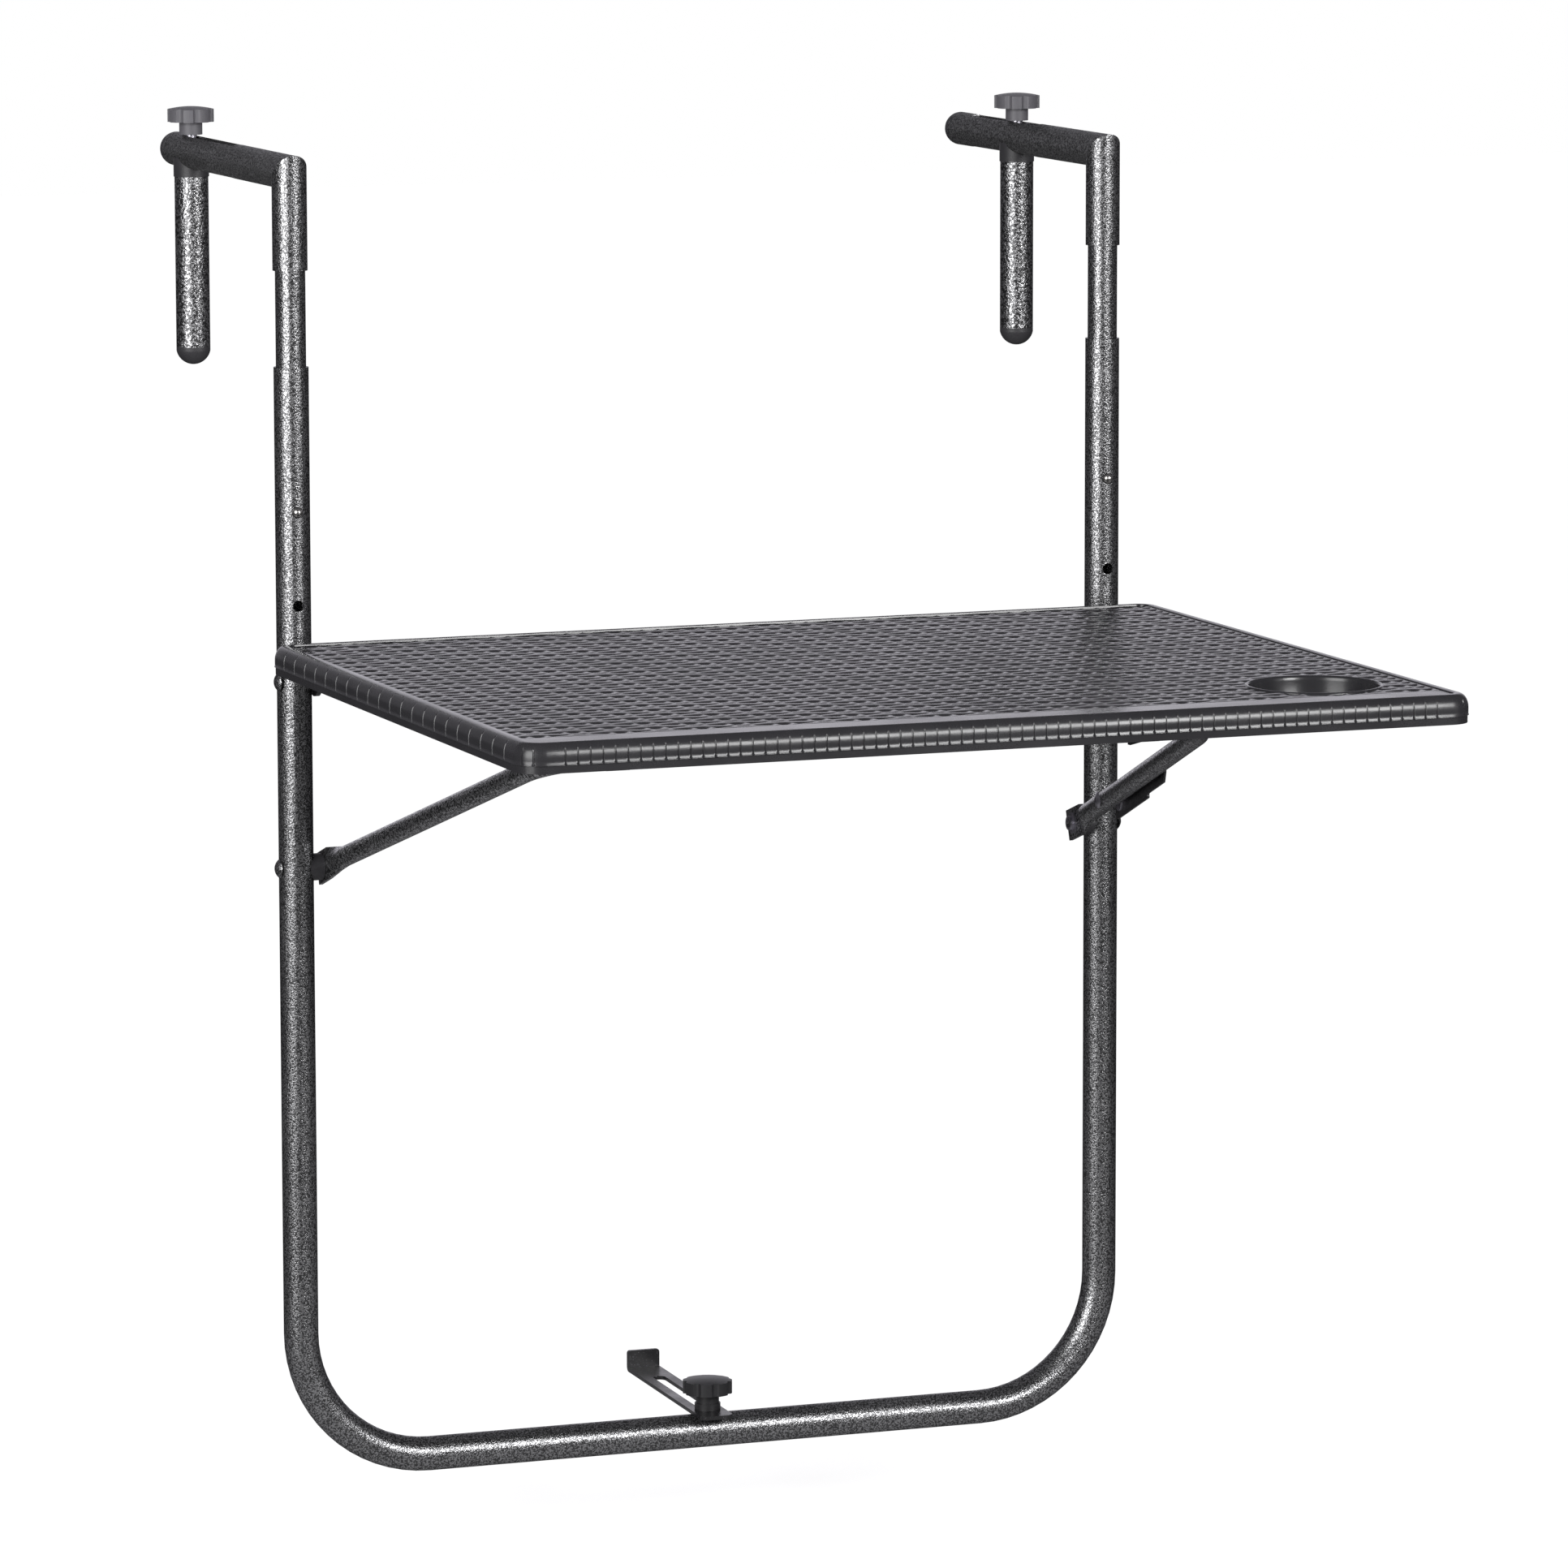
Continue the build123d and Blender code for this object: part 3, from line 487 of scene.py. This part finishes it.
def rim_samples():
    """Points round the outline, anticlockwise, with their inward direction and groove depth."""
    half_d = (TABLE_REAR_Y - TABLE_FRONT_Y) / 2.0
    middle = Vector((0.0, (TABLE_REAR_Y + TABLE_FRONT_Y) / 2.0))
    long_side = (half_d, 2.0 * (TABLE_HALF_W - CORNER_R), FRONT_GROOVE_PITCH, FRONT_GROOVES)
    short_side = (TABLE_HALF_W, 2.0 * (half_d - CORNER_R), SIDE_GROOVE_PITCH, SIDE_GROOVES)
    sides = ((0.0, long_side), (90.0, short_side), (180.0, long_side), (270.0, short_side))
    samples = []
    for turn, (reach, run, pitch, count) in sides:
        angle = math.radians(turn)
        along = Vector((math.cos(angle), math.sin(angle)))
        inward = Vector((-math.sin(angle), math.cos(angle)))
        for place, depth in groove_places(run, pitch, count):
            point = middle - inward * reach + along * (place - run / 2.0)
            samples.append((point, inward, depth))
        centre = middle - inward * (reach - CORNER_R) + along * run / 2.0
        for swing, depth in corner_places():
            swung = angle + math.radians(swing)
            direction = Vector((-math.sin(swung), math.cos(swung)))
            samples.append((centre - direction * CORNER_R, direction, depth))
    return samples


def rim_profile():
    """Section of the rim, from its inner foot over the crest, down the wall and back inside."""
    crown = []
    for step in range(RIM_STEPS + 1):
        angle = math.radians(90.0 / RIM_STEPS * step)
        inset = WALL_INSET + RIM_ROUND * (1.0 - math.sin(angle))
        height = CREST_Z - RIM_DROP * (1.0 - math.cos(angle))
        share = max(0.0, min(1.0, (step - RIM_PLAIN_STEPS) / RIM_FADE_STEPS))
        crown.append((inset, height, share))
    return [*INNER_SECTION, *crown, *OUTER_SECTION]


def rim_ring(bm):
    """The rim and the grooved outer wall, swept round the outline as a closed ring."""
    profile = rim_profile()
    rings = []
    for point, inward, depth in rim_samples():
        ring = []
        for inset, height, share in profile:
            place = point + inward * (inset + GROOVE_DEPTH * depth * share)
            ring.append(bm.verts.new((place.x, place.y, height)))
        rings.append(ring)
    for near, far in zip(rings, rings[1:] + rings[:1]):
        for i in range(len(profile)):
            j = (i + 1) % len(profile)
            bm.faces.new((near[i], far[i], far[j], near[j]))


def cup_recess(bm):
    """The moulded cup: rounded lip, drafted wall, filleted floor and the outside below the plate."""
    turns = [2.0 * math.pi * i / CUP_STEPS for i in range(CUP_STEPS)]
    rings = []
    for radius, height in CUP_PROFILE:
        rings.append([bm.verts.new((CUP_X + radius * math.cos(turn),
                                    CUP_Y + radius * math.sin(turn), height)) for turn in turns])
    for low, high in zip(rings, rings[1:]):
        for i in range(CUP_STEPS):
            j = (i + 1) % CUP_STEPS
            bm.faces.new((low[i], low[j], high[j], high[i]))
    bm.faces.new(list(reversed(rings[0])))
    bm.faces.new(rings[-1])


def hinge_pads(bm):
    """The two blocks under the plate that take the hinge screws."""
    for side in (-1.0, 1.0):
        x0, x1 = sorted((side * PAD_X[0], side * PAD_X[1]))
        made = bmesh.ops.create_cube(bm, size=1.0)["verts"]
        size = Vector((x1 - x0, PAD_Y[1] - PAD_Y[0], PAD_Z[1] - PAD_Z[0]))
        centre = Vector(((x0 + x1) / 2.0, sum(PAD_Y) / 2.0, sum(PAD_Z) / 2.0))
        for vert in made:
            vert.co = centre + vert.co * size
        edges = dict.fromkeys(edge for vert in made for edge in vert.link_edges)
        bmesh.ops.bevel(bm, geom=list(edges), offset=PAD_EDGE, segments=2, affect="EDGES",
                        profile=0.5)


def table_top_mesh():
    bm = bmesh.new()
    for build in (field_slab, rim_ring, cup_recess, hinge_pads):
        build(bm)
    bmesh.ops.recalc_face_normals(bm, faces=bm.faces)
    bmesh.ops.scale(bm, vec=(MM, MM, MM), verts=bm.verts)
    mesh = bpy.data.meshes.new("table_top_woven")
    bm.to_mesh(mesh)
    bm.free()
    mesh.shade_smooth()
    mesh.set_sharp_from_angle(angle=SMOOTH_ANGLE)
    return mesh


def add_piece(name, mesh, finish, body, replaced):
    """Adds a piece that rides on a body and stands in for CAD nodes."""
    made = bpy.data.objects.new(name, mesh)
    bpy.context.scene.collection.objects.link(made)
    mesh.materials.append(finish)
    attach(made, body)
    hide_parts(*replaced)


add_piece("table_top_woven", table_top_mesh(), TABLE_PLASTIC, "table",
          ("table_top",))


# Stage, in metres

FLOOR_DROP = 0.06
FLOOR_SIZE = 12.0
FLOOR_CORNERS = ((-1, -1), (1, -1), (1, 1), (-1, 1))
FLOOR_NEAR = grey(0.6, green=1.0, blue=1.0)
FLOOR_FAR = grey(0.1, green=1.0, blue=1.0)
FLOOR_GLOW_NEAR = grey(0.69, green=1.0, blue=1.0)
FLOOR_GLOW_FAR = grey(0.98, green=1.0, blue=1.0)
FLOOR_REACH = (0.6, 1.5)

# Each softbox: name, place, the point it faces, width and height, radiance
SOFTBOXES = (
    ("left_softbox", (-2.35, -1.65, 0.32), (0.0, -0.1, 0.0), (1.7, 1.7), 7.8),
    ("front_softbox", (1.15, -3.0, 0.62), (0.0, -0.5, -0.3), (1.1, 0.85), 21.0),
    ("right_softbox", (1.8, -2.2, 0.0), (0.0, 0.0, -0.2), (0.45, 1.1), 0.8),
    ("room_wall", (-0.6, -3.6, 0.25), (0.0, 0.0, 0.0), (4.5, 1.9), 0.12),
)

ROOM_LIGHT = 0.3
ROOM_GLOSS = 0.1
BACKDROP_TINT = grey(1.0, green=0.975, blue=1.06)
BACKDROP_WAY = (0.32, 0.947, 0.0)
BACKDROP_EDGE = (0.82, 0.955)

# Camera: focal length in widths of the picture, its three axes and its place
SENSOR_W = 36.0
FOCAL_WIDTHS = 10070.7 / 1932.0
CLIP_END = 60.0
CAMERA_RIGHT = (0.935875, -0.352327, -0.001856)
CAMERA_UP = (0.052002, 0.13292, 0.989762)
CAMERA_BACK = (-0.348473, -0.92639, 0.142718)
CAMERA_PLACE = (-1.7811, -4.8781, 0.3602)


def build_floor():
    """A white floor a little below the hanging frame, with a glow that only the camera sees."""
    height = CAD_BOX[0][2] - FLOOR_DROP
    corners = [(x * FLOOR_SIZE, y * FLOOR_SIZE, height) for x, y in FLOOR_CORNERS]
    mesh = bpy.data.meshes.new("floor")
    mesh.from_pydata(corners, [], [(0, 1, 2, 3)])
    floor = bpy.data.objects.new("floor", mesh)
    bpy.context.scene.collection.objects.link(floor)
    paint = Paint("floor_white")
    seen = paint.node("ShaderNodeLightPath", {}, {})["Is Camera Ray"]
    reach = paint.node("ShaderNodeVectorMath", {"operation": "LENGTH"}, [paint.place()])["Value"]
    far = reach.step(*FLOOR_REACH)
    glow = paint.mix(seen, BLACK, paint.mix(far, FLOOR_GLOW_NEAR, FLOOR_GLOW_FAR))
    mesh.materials.append(paint.set(Base_Color=paint.mix(far, FLOOR_NEAR, FLOOR_FAR),
                                    Roughness=0.9, Specular_IOR_Level=0.0,
                                    Emission_Color=glow, Emission_Strength=1.0))


def add_softbox(name, place, target, size, radiance):
    data = bpy.data.lights.new(name, "AREA")
    data.shape = "RECTANGLE"
    data.size, data.size_y = size
    data.energy = radiance * math.pi * size[0] * size[1]
    light = bpy.data.objects.new(name, data)
    light.location = place
    way = Vector(target) - Vector(place)
    light.rotation_euler = way.to_track_quat("-Z", "Y").to_euler()
    bpy.context.scene.collection.objects.link(light)


def build_world():
    """A backdrop behind the object and a dimmer room before it. The camera sees white all round."""
    world = bpy.data.worlds.new("studio")
    bpy.context.scene.world = world
    world.use_nodes = True
    tree = NodeTree(world.node_tree)
    direction = tree.node("ShaderNodeTexCoord", {}, {})["Generated"]
    towards = tree.node("ShaderNodeVectorMath", {"operation": "DOT_PRODUCT"},
                        [direction, BACKDROP_WAY])["Value"]
    back = towards.step(*BACKDROP_EDGE)
    path = tree.node("ShaderNodeLightPath", {}, {})
    seen = path["Is Camera Ray"]
    mirrored = path["Is Glossy Ray"] + path["Is Transmission Ray"]
    gloss = mirrored * (ROOM_GLOSS + (1.0 - ROOM_GLOSS) * back)
    plain = (1.0 - mirrored) * (1.0 - seen) * ROOM_LIGHT
    colour = tree.mix(seen, BACKDROP_TINT, WHITE)
    sockets = {"Color": colour, "Strength": seen + gloss + plain}
    tree.surface(tree.node("ShaderNodeBackground", {}, sockets)["Background"])


def build_camera():
    """The photograph's long lens, from the left and a little above."""
    data = bpy.data.cameras.new("camera")
    data.sensor_fit = "HORIZONTAL"
    data.sensor_width = SENSOR_W
    data.lens = FOCAL_WIDTHS * SENSOR_W
    data.clip_end = CLIP_END
    camera = bpy.data.objects.new("camera", data)
    turn = Matrix((CAMERA_RIGHT, CAMERA_UP, CAMERA_BACK)).transposed().to_4x4()
    camera.matrix_world = Matrix.Translation(CAMERA_PLACE) @ turn
    bpy.context.scene.collection.objects.link(camera)
    bpy.context.scene.camera = camera


build_floor()
for softbox in SOFTBOXES:
    add_softbox(*softbox)
build_world()
build_camera()
bpy.context.scene.view_settings.view_transform = "Standard"
